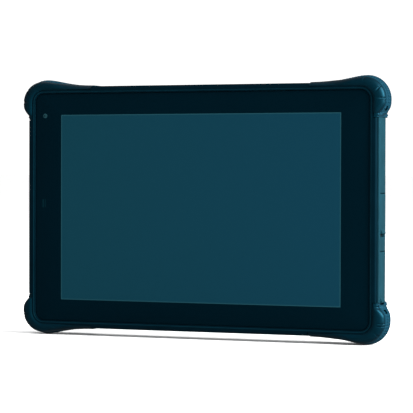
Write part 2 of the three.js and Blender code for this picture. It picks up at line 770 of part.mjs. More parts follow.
// ---- Cameras, speaker, antennas, dock --------------------------------------------------------------------

function rearCameraModule() {
  const { x, z, size, lens, front } = rearCamera;
  const body = block(around(x, size), [front, rearInner - gap], around(z, size));
  return body.add(bar(lens - gap, rearInner - 1, caseDepth - windowSeat - gap, x, z));
}

function rearCameraWindow() {
  const { x, z, window } = rearCamera;
  return bar(window, caseDepth - windowSeat + gap, caseDepth - windowSunk, x, z, 32);
}

add('rear_camera_module', rearCameraModule(), 'plastic');
add('rear_camera_window', rearCameraWindow(), 'lens');
add('flash_lens', bar(flash.radius, rearInner - 1, caseDepth - windowSunk, flash.x, flash.z), 'lens');
add('loudspeaker', block(around(speaker.x, speaker.width), [speaker.front, rearInner - gap],
  around(speaker.z, speaker.height)), 'plastic');
add('gnss_antenna', block(
  around(caseHalfX - 24.8, 15), [boardBack + gap, boardBack + 2.8], around(caseHalfZ - 16.35, 18),
), 'ceramic');
add('wifi_antenna', block([12, 52], stripDepth, [innerHalfZ - 1.5, innerHalfZ - 0.7]), 'board');
add('cellular_antenna', block([0.6 - innerHalfX, 1.4 - innerHalfX], stripDepth, [-45, 5]), 'board');

// The middles of the dock's contacts along the connector.
function dockContactPlaces() {
  return Array.from({ length: dock.contacts }, (_, i) => (i - (dock.contacts - 1) / 2) * dock.pitch);
}

function dockingConnector() {
  const low = gap - caseHalfZ;
  const body = block(around(0, dock.width), around(dock.depth, dock.thickness), [low, low + dock.height]);
  return without(body, ...dockContactPlaces().map((x) =>
    barUp(dock.contactRadius + gap, x, dock.depth, low - 1, low + dock.contactDepth)));
}

add('docking_connector', dockingConnector(), 'plastic');
dockContactPlaces().forEach((x, i) => {
  const low = gap / 2 - caseHalfZ;
  const contact = barUp(dock.contactRadius, x, dock.depth, low, dock.contactDepth - caseHalfZ);
  add(`docking_contact_${i + 1}`, contact, 'brass');
});

// ---- Fasteners -------------------------------------------------------------------------------------------

function strapInsert({ sx, sz }) {
  const x = sx * insertX;
  const z = sz * insertZ;
  return bar(insertRadius, insertFront, caseDepth - 0.05, x, z)
    .subtract(bar(insertBore, insertFront + 1, caseDepth + 1, x, z, 16));
}

// A cap screw with a hexagonal socket: where its head ends, how tall the head is and how long the shank.
function screw({ x, z }, top, height, length) {
  const shank = bar(shankRadius, top - height - length, top - height / 2, x, z, 12);
  const socketHole = bar(socketRadius, top - height * 0.6, top + 1, x, z, 6);
  return without(joined(bar(headRadius, top - height, top, x, z), shank), socketHole);
}

for (const corner of corners) add(`strap_insert_${corner.name}`, strapInsert(corner), 'brass');
const caseScrewLength = screwTop - headHeight - frameBack - 1;
for (const place of caseScrews) {
  add(`case_screw_${place.name}`, screw(place, screwTop, headHeight, caseScrewLength), 'steel');
}
for (const { name, sx, sz } of corners) {
  const place = { x: sx * bumperScrew.x, z: sz * bumperScrew.z };
  add(`bumper_screw_${name}`, screw(place, bumperScrewTop, bumperHeadHeight, bumperScrewLength), 'steel');
}

// ---- The whole, standing on its lower bumpers ------------------------------------------------------------

assembly.position.set(0, -bodyMiddle, bumperHalfZ);
const dataCollector = new THREE.Group();
dataCollector.add(assembly);

export default dataCollector;
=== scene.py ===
"""The looks of a rugged field data collector, built round its CAD frame.

Places are in the screen's frame, in millimetres: x to the right, depth behind the face of the glass, and z up
from the middle of the screen. at() turns them into the CAD frame, in metres.
"""
import json
import math

import bmesh
import bpy
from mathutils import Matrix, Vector

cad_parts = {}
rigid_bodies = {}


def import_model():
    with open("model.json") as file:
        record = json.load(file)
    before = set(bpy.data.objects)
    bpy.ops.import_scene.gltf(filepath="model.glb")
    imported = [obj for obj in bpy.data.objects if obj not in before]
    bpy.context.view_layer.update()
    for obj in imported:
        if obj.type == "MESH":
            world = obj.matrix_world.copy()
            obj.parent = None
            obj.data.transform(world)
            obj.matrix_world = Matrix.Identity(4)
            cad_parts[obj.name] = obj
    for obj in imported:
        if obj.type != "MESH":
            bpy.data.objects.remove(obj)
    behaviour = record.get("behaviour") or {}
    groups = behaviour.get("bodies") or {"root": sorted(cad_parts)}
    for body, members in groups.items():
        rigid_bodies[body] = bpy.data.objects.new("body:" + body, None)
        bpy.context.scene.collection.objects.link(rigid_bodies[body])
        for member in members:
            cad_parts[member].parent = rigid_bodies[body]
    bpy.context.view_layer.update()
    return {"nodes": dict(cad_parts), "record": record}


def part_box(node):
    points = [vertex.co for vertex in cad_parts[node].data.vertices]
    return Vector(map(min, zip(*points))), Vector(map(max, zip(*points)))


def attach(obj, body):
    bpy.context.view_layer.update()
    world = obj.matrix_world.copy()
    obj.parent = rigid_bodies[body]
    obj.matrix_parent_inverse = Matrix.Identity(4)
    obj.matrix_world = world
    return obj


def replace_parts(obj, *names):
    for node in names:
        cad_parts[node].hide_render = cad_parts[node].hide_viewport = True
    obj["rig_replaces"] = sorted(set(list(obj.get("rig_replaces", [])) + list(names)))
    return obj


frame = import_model()

MM = 0.001
FINE = 0.3  # clearance between neighbouring pieces, as in the CAD model


# ---- Places ----------------------------------------------------------------------------------------------

_glass_low, _glass_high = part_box("cover_glass")
SCREEN = Vector((0.0, _glass_low[1], (_glass_low[2] + _glass_high[2]) / 2))


def at(x, depth, z):
    """A place in the screen's frame, in metres in the CAD frame."""
    return SCREEN + Vector((x, depth, z)) * MM


def span(node):
    """A CAD node's extent in the screen's frame: (x, x), (depth, depth), (z, z) in millimetres."""
    low, high = (tuple(corner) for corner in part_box(node))
    return tuple(
        ((a - origin) / MM, (b - origin) / MM) for a, b, origin in zip(low, high, SCREEN)
    )


def middle(pair):
    return (pair[0] + pair[1]) / 2


GLASS_X, GLASS_Z = span("cover_glass")[0][1], span("cover_glass")[2][1]
GLASS_BACK = span("cover_glass")[1][1]
GLASS_CORNER = 5.1
GLASS_GAP = 0.16
SCREEN_X, SCREEN_Z = 86.1, 53.8  # half of the active area

CASE_X, CASE_Z = span("rear_housing")[0][1], span("rear_housing")[2][1]
CASE_FRONT, CASE_BACK = span("rear_housing")[1]
CASE_CORNER = 10.0
BEZEL_FRONT, BEZEL_BACK = span("front_bezel")[1]
BUMPER_X, BUMPER_Z = span("bumper_top_right")[0][1], span("bumper_top_right")[2][1]
BUMPER_FRONT, BUMPER_BACK = span("bumper_top_right")[1]
TAIL_X, HEEL_Z = span("bumper_top_right")[0][0], span("bumper_top_right")[2][0]
HEEL_START = HEEL_Z + 1.0  # a flush flange lies before the heel's slope
HEEL_TOP = HEEL_Z + 8.8  # where the heel's slope runs into the bulge

CORNERS = {"top_right": (1, 1), "top_left": (-1, 1), "bottom_left": (-1, -1), "bottom_right": (1, -1)}


# ---- Materials -------------------------------------------------------------------------------------------


class Nodes:
    """A small helper that adds and links nodes of one material."""

    def __init__(self, name):
        self.material = bpy.data.materials.new(name)
        self.material.use_nodes = True
        self.tree = self.material.node_tree
        self.shader = self.tree.nodes["Principled BSDF"]
        self.place = self.tree.nodes.new("ShaderNodeTexCoord").outputs["Object"]

    def add(self, kind, inputs=None, **settings):
        node = self.tree.nodes.new(kind)
        for key, value in settings.items():
            setattr(node, key, value)
        for key, value in (inputs or {}).items():
            if isinstance(value, bpy.types.NodeSocket):
                self.tree.links.new(value, node.inputs[key])
            else:
                node.inputs[key].default_value = value
        return node

    def noise(self, size_mm, detail=3.0, roughness=0.55):
        """Noise whose features are about size_mm across."""
        return self.add(
            "ShaderNodeTexNoise",
            {"Vector": self.place, "Scale": 1.0 / (size_mm * MM), "Detail": detail, "Roughness": roughness},
        ).outputs["Fac"]

    def ramp(self, fac, low, high, start=0.3, end=0.7):
        """A colour ramp between two colours."""
        node = self.add("ShaderNodeValToRGB", {"Fac": fac})
        for stop, place, colour in zip(node.color_ramp.elements, (start, end), (low, high)):
            stop.position = place
            stop.color = (*colour, 1.0)
        return node.outputs["Color"]

    def range(self, fac, low, high, start=0.3, end=0.7):
        return self.add(
            "ShaderNodeMapRange",
            {"Value": fac, "From Min": start, "From Max": end, "To Min": low, "To Max": high},
        ).outputs["Result"]

    def bump(self, height, depth_mm, strength=1.0, normal=None):
        inputs = {"Height": height, "Distance": depth_mm * MM, "Strength": strength}
        if normal is not None:
            inputs["Normal"] = normal
        return self.add("ShaderNodeBump", inputs).outputs["Normal"]

    def set(self, **values):
        """Sets or links the shader's inputs: Base_Color stands for Base Color."""
        for key, value in values.items():
            socket = self.shader.inputs[key.replace("_", " ")]
            if isinstance(value, bpy.types.NodeSocket):
                self.tree.links.new(value, socket)
            else:
                socket.default_value = value
        return self.material


def scaled(colour, factor):
    return tuple(min(1.0, c * factor) for c in colour)


COOL_SHINE = (0.04, 0.55, 0.85, 1.0)  # the blue-green cast of the outer plastics' reflections


def moulded(name, colour, roughness, grain_mm=0.5, grain_depth=0.012, variation=0.12, shine=0.12):
    """Moulded plastic: a fine spark-eroded grain, slight mottling and a little handling sheen."""
    n = Nodes(name)
    mottle = n.noise(9.0, 4.0)
    voronoi = n.add("ShaderNodeTexVoronoi", {"Vector": n.place, "Scale": 1.0 / (grain_mm * MM)})
    cells = n.bump(voronoi.outputs["Distance"], grain_depth, 0.6)
    grain = n.bump(n.noise(grain_mm * 0.6, 2.0), grain_depth, 0.5, cells)
    return n.set(
        Base_Color=n.ramp(mottle, scaled(colour, 1 - variation), scaled(colour, 1 + variation)),
        Roughness=n.range(n.noise(22.0, 3.0), roughness - 0.05, roughness + 0.07),
        Specular_IOR_Level=shine,
        Specular_Tint=COOL_SHINE,
        Normal=grain,
    )


def rubber(name, colour, roughness, grain_mm=0.35, shine=0.35):
    """Soft rubber: a satin skin with fine pores and faint rubbed patches."""
    n = Nodes(name)
    rubbed = n.noise(14.0, 5.0, 0.6)
    pores = n.noise(grain_mm, 3.0, 0.7)
    return n.set(
        Base_Color=n.ramp(rubbed, scaled(colour, 0.85), scaled(colour, 1.18)),
        Roughness=n.range(rubbed, roughness + 0.06, roughness - 0.06),
        Specular_IOR_Level=shine,
        Specular_Tint=COOL_SHINE,
        Normal=n.bump(pores, 0.012, 0.5),
    )


def metal(name, colour, roughness, brushed_mm=0.4):
    """Machined or stamped metal with fine turning marks."""
    n = Nodes(name)
    marks = n.noise(brushed_mm, 2.0)
    return n.set(
        Base_Color=n.ramp(n.noise(6.0), scaled(colour, 0.9), scaled(colour, 1.05)),
        Metallic=1.0,
        Roughness=n.range(marks, roughness - 0.06, roughness + 0.1),
        Normal=n.bump(marks, 0.004, 0.3),
    )


def circuit_board(name, colour):
    """Solder mask with the faint relief of the tracks under it."""
    n = Nodes(name)
    tracks = n.add(
        "ShaderNodeTexBrick",
        {"Vector": n.place, "Scale": 260.0, "Mortar Size": 0.03, "Color1": (*scaled(colour, 0.8), 1),
         "Color2": (*scaled(colour, 1.25), 1), "Mortar": (*scaled(colour, 1.7), 1)},
    )
    return n.set(
        Base_Color=tracks.outputs["Color"],
        Roughness=n.range(n.noise(1.5), 0.28, 0.42),
        Normal=n.bump(tracks.outputs["Fac"], 0.03, 0.5),
    )


def polished(name, colour, roughness, cloud_mm=60.0, variation=0.05, specular=0.5):
    """A smooth hard surface such as glass or a clear window, with the faintest smears."""
    n = Nodes(name)
    smear = n.noise(cloud_mm, 4.0, 0.6)
    return n.set(
        Base_Color=n.ramp(smear, scaled(colour, 1 - variation), scaled(colour, 1 + variation)),
        Roughness=n.range(smear, roughness * 0.8, roughness * 1.3),
        Specular_IOR_Level=specular,
        Specular_Tint=COOL_SHINE,
        IOR=1.52,
    )


def display_material(name, left, right):
    """A switched-off panel behind bonded glass, whose colour shifts a little from side to side."""
    n = Nodes(name)
    across = n.add("ShaderNodeSeparateXYZ", {"Vector": n.place}).outputs["X"]
    cloudy = n.add(
        "ShaderNodeMath", {0: across, 1: n.range(n.noise(35.0, 2.0), -0.012, 0.012)}, operation="ADD"
    ).outputs["Value"]
    shade = n.range(cloudy, 0.0, 1.0, -SCREEN_X * MM, SCREEN_X * MM)
    return n.set(
        Base_Color=n.ramp(shade, left, right, 0.0, 1.0),
        Roughness=n.range(n.noise(50.0, 3.0), 0.10, 0.16),
        Specular_IOR_Level=0.12,
        Specular_Tint=COOL_SHINE,
        IOR=1.52,
    )


SHELL_COLOUR = (0.0040, 0.0260, 0.0370)
BEZEL_COLOUR = (0.0002, 0.0042, 0.0078)
RUBBER_COLOUR = (0.0002, 0.0062, 0.0112)
LIT_BAND_COLOUR = (0.0034, 0.0240, 0.0395)  # a lighter copy of the rubber's colour for the outer band: painted light from the key light on the right
# a lighter colour for the crest of the bezel's lip: a painted highlight round the glass
RIM_HIGHLIGHT_COLOUR = (0.0010, 0.0120, 0.0190)

MATERIALS = {
    "bezel": moulded("bezel_plastic", BEZEL_COLOUR, 0.46),
    "bezel_rim_highlight": moulded("bezel_rim_highlight", RIM_HIGHLIGHT_COLOUR, 0.36, 0.5, 0.005),
    "shell": moulded("shell_plastic", SHELL_COLOUR, 0.50, 0.7, 0.02, shine=0.2),
    "battery": moulded("battery_plastic", scaled(SHELL_COLOUR, 0.8), 0.55, 0.9, 0.025),
    "latch": moulded("latch_plastic", (0.006, 0.012, 0.016), 0.42),
    "plastic": moulded("black_plastic", (0.006, 0.007, 0.009), 0.40),
    "bumper": rubber("bumper_rubber", RUBBER_COLOUR, 0.46),
    "bumper_band_lit": rubber("lit_band_rubber", LIT_BAND_COLOUR, 0.50, shine=0.15),
    "button": rubber("button_rubber", RUBBER_COLOUR, 0.55),
    "seal": rubber("seal_silicone", (0.004, 0.005, 0.006), 0.62),
    "cover_glass": polished("glass_border", (0.0002, 0.0040, 0.0070), 0.09, specular=0.10),
    "display": display_material("display_window", (0.0032, 0.0248, 0.0372), (0.0029, 0.0238, 0.0395)),
    "lens": polished("clear_window", (0.002, 0.004, 0.006), 0.05, 20.0),
    "ceramic": polished("fired_ceramic", (0.62, 0.56, 0.44), 0.35, 8.0, 0.08),
    "alloy": metal("satin_alloy", (0.55, 0.57, 0.60), 0.34),
    "copper": metal("copper_sheet", (0.72, 0.38, 0.22), 0.32),
    "brass": metal("turned_brass", (0.70, 0.52, 0.24), 0.30),
    "gold_contact": metal("plated_contact", (0.86, 0.62, 0.24), 0.22),
    "screw": metal("blackened_steel", (0.10, 0.105, 0.115), 0.36),
    "board": circuit_board("solder_mask", (0.010, 0.060, 0.032)),
}
# a lighter line round the display's active area: a painted highlight
SCREEN_EDGE_HIGHLIGHT = polished("screen_edge_highlight", (0.008, 0.038, 0.050), 0.12, specular=0.12)
MARK = polished("printed_mark", (0.0010, 0.0095, 0.0135), 0.2, specular=0.12)
# the lighter printed disc round the front camera; with the pupil set off-centre, its wider right side is a
# painted highlight
CAMERA_RING_AND_HIGHLIGHT = polished("camera_ring_print_and_highlight", (0.0085, 0.031, 0.038), 0.2, specular=0.12)
PUPIL = polished("camera_pupil", (0.0008, 0.002, 0.003), 0.04)

SLOT_OF = {s["node"]: s["material_slot"] for s in frame["record"]["subparts"]}


# ---- Mesh making -----------------------------------------------------------------------------------------


def finish_mesh(mesh, sharp_deg=32.0):
    mesh.validate()
    mesh.shade_smooth()
    mesh.set_sharp_from_angle(angle=math.radians(sharp_deg))


def piece(name, bm, materials, body="case", replaces=(), sharp_deg=32.0):
    """Turns a bmesh into a piece of the object that rides on a body."""
    bmesh.ops.remove_doubles(bm, verts=bm.verts, dist=0.002 * MM)
    bmesh.ops.recalc_face_normals(bm, faces=bm.faces)
    mesh = bpy.data.meshes.new(name)
    bm.to_mesh(mesh)
    bm.free()
    finish_mesh(mesh, sharp_deg)
    for material in materials if isinstance(materials, list) else [materials]:
        mesh.materials.append(material)
    made = bpy.data.objects.new(name, mesh)
    bpy.context.scene.collection.objects.link(made)
    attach(made, body)
    if replaces:
        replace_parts(made, *replaces)
    return made


def rounded(half_x, half_z, radius, steps=10):
    """Points of a rectangle with round corners about the origin, anticlockwise seen from the front."""
    points = []
    for quarter, (sx, sz) in enumerate([(1, 1), (-1, 1), (-1, -1), (1, -1)]):
        for i in range(steps + 1):
            angle = (quarter + i / steps) * math.pi / 2
            points.append((
                sx * (half_x - radius) + radius * math.cos(angle),
                sz * (half_z - radius) + radius * math.sin(angle),
            ))
    return points


def notched(half_x, half_z, radius, core, steps=12):
    """A rounded rectangle that falls back to a smaller core at each corner, where a bumper sits.

    A rectangle narrower than the core keeps its own corners.
    """
    core_x, core_z, core_radius = core
    inside = half_x <= core_x
    cx, cz = (half_x, half_z) if inside else (core_x, core_z)
    r = radius if inside else core_radius
    quarter = [(half_x, HEEL_Z - FINE), (cx, HEEL_Z - FINE)]
    for i in range(steps + 1):
        angle = i / steps * math.pi / 2
        quarter.append((cx - r + r * math.cos(angle), cz - r + r * math.sin(angle)))
    quarter += [(TAIL_X - FINE, cz), (TAIL_X - FINE, half_z)]
    points = []
    for sx, sz in [(1, 1), (-1, 1), (-1, -1), (1, -1)]:
        mirrored = [(sx * x, sz * z) for x, z in quarter]
        points += mirrored if sx * sz > 0 else mirrored[::-1]
    return points


def bridge(bm, a, b):
    """Joins two loops of vertices with a band of quads."""
    count = len(a)
    return [bm.faces.new((a[i], a[(i + 1) % count], b[(i + 1) % count], b[i])) for i in range(count)]


def loft(sections, place=at, ring=False, groups=None):
    """Joins outlines with the same number of points. Each section is (points, level).

    place(u, level, v) gives the position. A ring's last section joins its first; otherwise both ends are
    closed. groups gives the material index of the faces after each section.
    """
    bm = bmesh.new()
    loops = [[bm.verts.new(place(u, level, v)) for u, v in points] for points, level in sections]
    pairs = list(zip(loops, loops[1:]))
    if ring:
        pairs.append((loops[-1], loops[0]))
    for number, (a, b) in enumerate(pairs):
        for face in bridge(bm, a, b):
            face.material_index = groups[number] if groups else 0
    if not ring:
        for loop, number in ((loops[0], 0), (loops[-1], len(loops) - 2)):
            cap = bm.faces.new(loop)
            cap.material_index = groups[number] if groups else 0
    return bm


def side_place(u, level, v):
    """The place of a piece whose outline is seen from the side: u is the depth, v is z and the level is x."""
    return at(level, u, v)


def top_place(u, level, v):
    """The place of a piece whose outline is seen from above: u is x, v is the depth and the level is z."""
    return at(u, v, level)


def pad(u, v, levels, radius, edge, place=at, steps=5, soft=3):
    """A block with round corners and softened front and back edges."""
    (u0, u1), (v0, v1), (low, high) = u, v, levels
    mid_u, mid_v = (u0 + u1) / 2, (v0 + v1) / 2
    half_u, half_v = (u1 - u0) / 2, (v1 - v0) / 2

    def section(inset, level):
        corner = max(radius - inset, 0.02)
        points = rounded(half_u - inset, half_v - inset, corner, steps)
        return [(mid_u + a, mid_v + b) for a, b in points], level

    angles = [math.pi / 2 * i / soft for i in range(soft + 1)]
    first = [section(edge * (1 - math.sin(a)), low + edge * (1 - math.cos(a))) for a in angles]
    last = [section(edge * (1 - math.sin(a)), high - edge * (1 - math.cos(a))) for a in reversed(angles)]
    return loft(first + last, place)


def turned(profile, x, z, sides=40, lobes=0, ring=False):
    """A turned piece round an axis along the depth. profile lists (radius, depth).

    Both of its ends are closed, or in a ring the end of the profile joins its start. Points with a negative
    radius belong to a socket whose wall has this many lobes.
    """
    lobe_height = 0.14
    bm = bmesh.new()
    rows = []
    for radius, depth in profile:
        row = []
        for i in range(sides):
            angle = 2 * math.pi * i / sides
            r = abs(radius) * (1 + lobe_height * math.cos(lobes * angle) if radius < 0 and lobes else 1)
            row.append(bm.verts.new(at(x + r * math.cos(angle), depth, z + r * math.sin(angle))))
        rows.append(row)
    for a, b in zip(rows, rows[1:]):
        bridge(bm, a, b)
    if ring:
        bridge(bm, rows[-1], rows[0])
    else:
        bm.faces.new(rows[0])
        bm.faces.new(rows[-1])
    return bm


def merged(*parts):
    """Several bmeshes as one."""
    whole = bmesh.new()
    for part in parts:
        mesh = bpy.data.meshes.new("part")
        part.to_mesh(mesh)
        part.free()
        whole.from_mesh(mesh)
        bpy.data.meshes.remove(mesh)
    return whole


def cut(target, *cutters):
    """Takes the cutters' volume out of a piece."""
    for bm in cutters:
        bmesh.ops.recalc_face_normals(bm, faces=bm.faces)
        mesh = bpy.data.meshes.new("cutter")
        bm.to_mesh(mesh)
        bm.free()
        tool = bpy.data.objects.new("cutter", mesh)
        bpy.context.scene.collection.objects.link(tool)
        modifier = target.modifiers.new("cut", "BOOLEAN")
        modifier.operation = "DIFFERENCE"
        modifier.solver = "EXACT"
        modifier.object = tool
        bpy.context.view_layer.update()
        graph = bpy.context.evaluated_depsgraph_get()
        result = bpy.data.meshes.new_from_object(target.evaluated_get(graph))
        target.modifiers.remove(modifier)
        old = target.data
        target.data = result
        bpy.data.meshes.remove(old)
        bpy.data.objects.remove(tool)
        bpy.data.meshes.remove(mesh)
    finish_mesh(target.data)


def refined(node, bevel_mm, material, body="case"):
    """The CAD solid with its flat faces merged and its edges softened."""
    sharp = math.radians(30.0)
    bm = bmesh.new()
    bm.from_mesh(frame["nodes"][node].data)
    bmesh.ops.remove_doubles(bm, verts=bm.verts, dist=0.002 * MM)
    bmesh.ops.dissolve_limit(bm, angle_limit=math.radians(0.5), verts=bm.verts, edges=bm.edges)
    edges = [e for e in bm.edges if e.is_manifold and e.calc_face_angle(0) > sharp]
    bmesh.ops.bevel(
        bm, geom=edges, offset=bevel_mm * MM, segments=2, profile=0.6, affect="EDGES", clamp_overlap=True,
    )
    return piece(f"{node}_solid", bm, material, body, (node,))


# ---- Front -----------------------------------------------------------------------------------------------


def make_glass():
    """Cover glass: a dark printed border, the display, and a thin lighter line at the screen's edge that is a
    painted highlight.
    """
    edge = 0.22
    line = 0.55
    corner = GLASS_CORNER
    sections = [
        (rounded(GLASS_X, GLASS_Z, corner), GLASS_BACK),
        (rounded(GLASS_X, GLASS_Z, corner), edge),
        (rounded(GLASS_X - edge * 0.3, GLASS_Z - edge * 0.3, corner - edge * 0.3), edge * 0.3),
        (rounded(GLASS_X - edge, GLASS_Z - edge, corner - edge), 0.0),
        (rounded(SCREEN_X, SCREEN_Z, 0.25), 0.0),
        (rounded(SCREEN_X - line, SCREEN_Z - line, 0.2), 0.0),
    ]
    bm = loft(sections, groups=[0, 0, 0, 0, 1])
    bm.faces.ensure_lookup_table()
    bm.faces[-1].material_index = 2
    piece(
        "cover_glass_pane", bm, [MATERIALS["cover_glass"], SCREEN_EDGE_HIGHLIGHT, MATERIALS["display"]],
        replaces=("cover_glass",),
    )


def make_bezel():
    """The thin raised rim round the glass, cut back at the corners where the bumpers reach over it.

    A groove runs along its outer side, where it meets the rear housing.
    """
    open_x, open_z, open_r = GLASS_X + GLASS_GAP, GLASS_Z + GLASS_GAP, GLASS_CORNER + GLASS_GAP
    skirt_x, skirt_z, skirt_r = CASE_X - FINE, CASE_Z - FINE, CASE_CORNER - FINE
    tongue_x, tongue_z, tongue_r = CASE_X - 2.5, CASE_Z - 2.5, CASE_CORNER - 2.5
    ledge_x, ledge_z, ledge_r = SCREEN_X + 3.8, SCREEN_Z + 3.8, 2.0
    ledge_depth = BEZEL_BACK - 1.0
    skirt_back = CASE_FRONT - FINE
    core = (CASE_X - 2.7, CASE_Z - 2.1, CASE_CORNER - 2.4)

    def section(x, z, r, depth):
        return notched(x, z, r, core), depth

    def skirt_section(inset, depth):
        return section(skirt_x - inset, skirt_z - inset, skirt_r - inset, depth)

    lip = [(0.0, 0.42), (0.1, 0.26), (0.3, 0.2), (0.72, 0.16), (0.82, 0.03), (0.88, 0.0), (1.14, 0.0)]
    chamfer = [(1.15, 0.0), (0.98, 0.06), (0.14, 0.92), (0.03, 1.06), (0.0, 1.25)]
    parting_groove = [(0.0, 1.55), (0.08, 1.45), (0.95, 1.4), (0.95, 0.0)]
    sections = (
        [section(open_x, open_z, open_r, ledge_depth)]
        + [section(open_x + out, open_z + out, open_r + out, BEZEL_FRONT + drop) for out, drop in lip]
        + [skirt_section(inset, BEZEL_FRONT + drop) for inset, drop in chamfer]
        + [skirt_section(inset, skirt_back - ahead) for inset, ahead in parting_groove]
        + [section(tongue_x, tongue_z, tongue_r, depth) for depth in (skirt_back, BEZEL_BACK)]
        + [section(ledge_x, ledge_z, ledge_r, depth) for depth in (BEZEL_BACK, ledge_depth)]
    )
    crest = range(4, 7)  # the sections after which the faces of the lip's crest lie
    # the crest's faces take the lighter colour: a painted highlight along the rim
    groups = [1 if number in crest else 0 for number in range(len(sections))]
    materials = [MATERIALS["bezel"], MATERIALS["bezel_rim_highlight"]]
    bm = loft(sections, ring=True, groups=groups)
    piece("bezel_rim", bm, materials, replaces=("front_bezel",))


def make_glass_marks():
    """The camera's disc with its pupil, and the sensor's slits, printed on the dark border. The pupil sits
    left of the disc's middle, so the ring's wider right side is a painted highlight.
    """
    film = 0.03
    camera_x, _, camera_z = span("front_camera_module")
    x, z = middle(camera_x) - 0.6, middle(camera_z)
    disc = turned([(1.32, 0.0), (1.30, -film)], x, z)
    piece("front_camera_ring", disc, CAMERA_RING_AND_HIGHLIGHT)
    # the pupil sits left of the disc's middle so the lighter ring is wider on the right: a painted highlight
    # from the light on the right
    pupil_x = x - 0.34
    dome = [(0.44, -film), (0.42, -0.045), (0.3, -0.065), (0.15, -0.075), (0.02, -0.08)]
    piece("front_camera_pupil", turned(dome, pupil_x, z, 32), PUPIL)
    sensor_x = middle(span("sensor_module")[0])
    slits = ((-0.95, -0.15), (0.55, 1.0))
    slit_z = (-0.1, 4.5)
    for number, (left, right) in enumerate(slits):
        slit = pad((sensor_x + left, sensor_x + right), slit_z, (-film, 0.0), 0.2, 0.008)
        piece(f"sensor_slit_{number + 1}", slit, MARK)


make_glass()
make_bezel()
make_glass_marks()


# ---- Bumpers ---------------------------------------------------------------------------------------------

BULGE = 13.6  # radius of the bulge seen from the front
BULGE_X, BULGE_Z = BUMPER_X - BULGE, BUMPER_Z - BULGE
FRONT_ROUND = 6.0
REAR_ROUND = 3.0
TAIL_PROUD = 0.6
FACET_START = 8.5  # the depth from which the side leans inward
FACET_INSET = 4.0
LEAN_LIMIT = 1.1  # the lean stops at this height above the seat
SEAT = (CASE_X - 1.0, CASE_Z - 1.0, CASE_CORNER - 1.0)  # inner wall of a bumper
SEAT_RETURN = 3.2  # round edge of the seat at the back
FRONT_OPENING = (CASE_X - 2.62, CASE_Z - 2.02, CASE_CORNER - 2.32)
REAR_OPENING = (CASE_X - 11.0, CASE_Z - 11.0, 16.0)
NOTCH_DEPTHS = (5.0, 12.0)  # the finger notches below the port doors
NOTCH_HEIGHT = 1.4


def bezier(points, count):
    """Points of a Bezier curve of any degree."""
    degree = len(points) - 1
    return [
        tuple(
            sum(math.comb(degree, k) * (1 - t) ** (degree - k) * t**k * p[axis] for k, p in enumerate(points))
            for axis in (0, 1)
        )
        for t in (i / count for i in range(count + 1))
    ]


def bumper_outline():
    """The bumper's outer edge in the first quarter, from the heel on the side to the tail on the top."""
    start = math.asin((HEEL_TOP - BULGE_Z) / BULGE)
    arc = [
        (BULGE_X + BULGE * math.cos(a), BULGE_Z + BULGE * math.sin(a))
        for a in (start + (math.pi / 2 - start) * i / 60 for i in range(61))
    ]
    heel_end = (CASE_X + 0.15, HEEL_START + 0.05)
    heel_middle = [(CASE_X + 2.6, HEEL_START + 1.3), (BUMPER_X - 0.1, HEEL_START + 3.4)]
    heel = bezier([heel_end, *heel_middle, arc[0]], 24)
    tail = (TAIL_X, CASE_Z + TAIL_PROUD)
    reach = CASE_X - TAIL_X
    shoulder_middle = [(BULGE_X - reach * 0.18, BUMPER_Z), (TAIL_X + reach * 0.42, tail[1])]
    shoulder = bezier([arc[-1], *shoulder_middle, tail], 60)
    flange = [(CASE_X, HEEL_Z - 0.1), (CASE_X, HEEL_START - 0.05)]
    return flange + heel + arc + shoulder + [(TAIL_X - 0.1, tail[1])]


def hit(origin, direction, line):
    """How far along a ray from origin the last crossing with a polyline lies."""
    best = None
    for (x0, z0), (x1, z1) in zip(line, line[1:]):
        ex, ez = x1 - x0, z1 - z0
        det = direction[0] * ez - direction[1] * ex
        if abs(det) < 1e-12:
            continue
        dx, dz = x0 - origin[0], z0 - origin[1]
        along = (dx * ez - dz * ex) / det
        share = (dx * direction[1] - dz * direction[0]) / det
        if -1e-9 <= share <= 1 + 1e-9 and along > 0:
            best = along if best is None else max(best, along)
    return best


def rounded_quarter(box):
    """The first quarter of a rounded rectangle, from its side to its top."""
    half_x, half_z, r = box
    arc = [
        (half_x - r + r * math.cos(a), half_z - r + r * math.sin(a))
        for a in (math.pi / 2 * i / 48 for i in range(49))
    ]
    return [(half_x, 0.0)] + arc + [(0.0, half_z)]


def smoothstep(low, high, value):
    """0 below low, 1 above high, and a smooth climb between them."""
    t = min(1.0, max(0.0, (value - low) / (high - low)))
    return t * t * (3 - 2 * t)


GROOVES = {  # each groove's start, its direction, its width and its share of GROOVE_DEPTH
    "top": (
        ((104.0, 61.4), (1.0, 0.0), 1.0, 1.0), ((105.5, 63.9), (0.58, 0.81), 1.0, 1.0),
        ((99.2, 70.0), (0.0, 1.0), 0.8, 0.35),
    ),
    "bottom": (
        ((104.0, 62.3), (1.0, 0.0), 0.6, 0.9), ((104.0, 63.8), (1.0, 0.0), 0.6, 0.9),
        ((105.5, 66.4), (0.58, 0.81), 0.8, 0.3),
    ),
}
GROOVE_DEPTH = 0.6
BLOCK_PITCH = 1.75  # of the grip blocks along the bumper
BLOCK_ROWS = (2.9, 4.6, 6.3, 8.0)  # depths between which the rows of grip blocks lie
BLOCK_HEIGHT = 0.45


